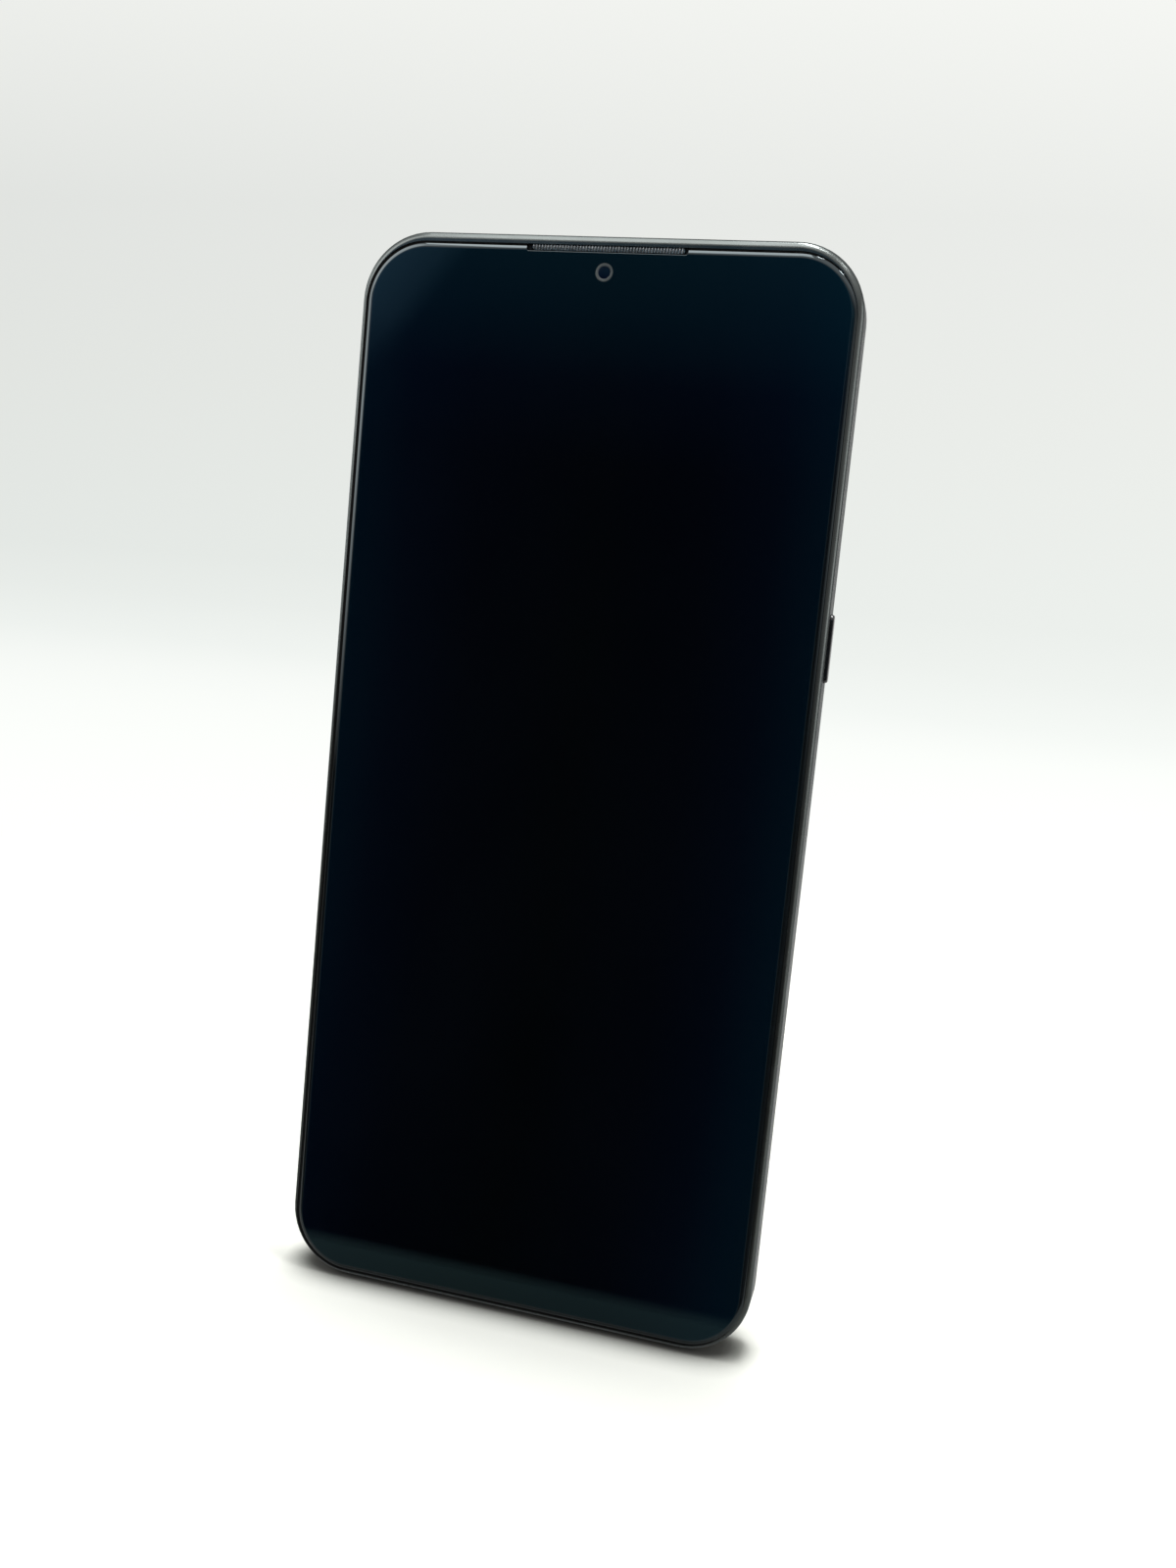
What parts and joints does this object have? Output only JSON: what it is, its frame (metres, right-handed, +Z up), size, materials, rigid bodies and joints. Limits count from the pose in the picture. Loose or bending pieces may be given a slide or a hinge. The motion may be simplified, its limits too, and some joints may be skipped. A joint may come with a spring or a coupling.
{
  "type": "smartphone",
  "caption": "Upright bar-shaped smartphone with a full-face dark screen, metal side band, side keys, SIM tray, ports and a raised rear camera island.",
  "frame": {"origin": "middle of the bottom edge that the phone stands on; Y is zero halfway between the glass front and the camera island's rear face", "axes": "+Z up the body, +X towards the power key (the viewer's right when facing the screen), -Y out of the screen"},
  "size_m": [0.077, 0.0098, 0.1655],
  "materials": {
    "screen_glass": "glossy near-black glass with a faint blue-green tint",
    "island_glass": "glossy near-black glass",
    "display": "dark screen panel, switched off",
    "frame_metal": "satin dark grey",
    "chassis": "satin near-black",
    "back": "satin near-black",
    "key": "satin black",
    "mesh": "fine dark mesh",
    "ring": "grey ring",
    "gasket": "black adhesive foam",
    "spreader": "graphite sheet",
    "flex": "amber flexible circuit",
    "camera": "black",
    "lens": "coated lens",
    "flash": "frosted pale yellow",
    "led": "yellow phosphor",
    "board": "green circuit board",
    "chips": "black",
    "shield": "tin-plated steel",
    "shroud": "black",
    "copper": "copper foil",
    "screw": "zinc-plated",
    "battery": "dark grey pouch",
    "circuit": "yellow tape",
    "tape": "white adhesive strip",
    "contact": "gold-plated spring",
    "speaker": "black cone",
    "magnet": "nickel-plated magnet",
    "card": "white plastic card"
  },
  "bodies": {
    "phone": {"front_glass": "screen_glass", "display_panel": "display", "display_gasket": "gasket", "heat_spreader": "spreader", "display_flex": "flex", "chassis": "chassis", "side_band": "frame_metal", "back_cover": "back", "camera_bezel": "frame_metal", "camera_cover_glass": "island_glass", "earpiece_mesh": "mesh", "earpiece_receiver": "speaker", "front_camera": "camera", "front_camera_ring": "ring", "main_camera_housing": "camera", "wide_camera": "camera", "closeup_camera": "camera", "flash_lens": "flash", "flash_led": "led", "main_board": "board", "main_chips": "chips", "processor_shield": "shield", "radio_shield": "shield", "sub_board": "board", "board_connectors": "chips", "upper_shroud": "shroud", "lower_shroud": "shroud", "near_field_antenna": "copper", "cover_screws": "screw", "battery": "battery", "battery_circuit": "circuit", "battery_lead": "flex", "battery_adhesive": "tape", "main_flex": "flex", "usb_shell": "shield", "usb_tongue": "shroud", "headphone_jack": "shroud", "jack_springs": "contact", "microphones": "contact", "loudspeaker_box": "shroud", "loudspeaker_cone": "speaker", "loudspeaker_magnet": "magnet", "motor_case": "shield", "key_switches": "contact", "key_flex": "flex", "sim_reader": "shield", "sim_ejector": "shield"},
    "power_key": {"power_key": "key"},
    "volume_up_key": {"volume_up_key": "key"},
    "volume_down_key": {"volume_down_key": "key"},
    "sim_tray": {"sim_tray": "frame_metal", "sim_card": "card"},
    "main_lens": {"main_camera_lens": "lens"},
    "motor_rotor": {"motor_shaft": "screw", "motor_weight": "screw"}
  },
  "joints": [
    {"name": "power_key_press", "type": "slide", "parent": "phone", "child": "power_key", "axis": [-1, 0, 0], "range_m": [0, 0.0003], "stiffness_N_per_m": 5000},
    {"name": "volume_up_key_press", "type": "slide", "parent": "phone", "child": "volume_up_key", "axis": [1, 0, 0], "range_m": [0, 0.0003], "stiffness_N_per_m": 5000},
    {"name": "volume_down_key_press", "type": "slide", "parent": "phone", "child": "volume_down_key", "axis": [1, 0, 0], "range_m": [0, 0.0003], "stiffness_N_per_m": 5000},
    {"name": "sim_tray_slide", "type": "slide", "parent": "phone", "child": "sim_tray", "axis": [-1, 0, 0], "range_m": [0, 0.017]},
    {"name": "lens_focus", "type": "slide", "parent": "phone", "child": "main_lens", "axis": [0, 1, 0], "range_m": [0, 0.00025], "stiffness_N_per_m": 50},
    {"name": "motor_spin", "type": "hinge", "parent": "phone", "child": "motor_rotor", "pos_m": [-0.0298, 0.00015, 0.0312], "axis": [1, 0, 0], "continuous": true}
  ]
}
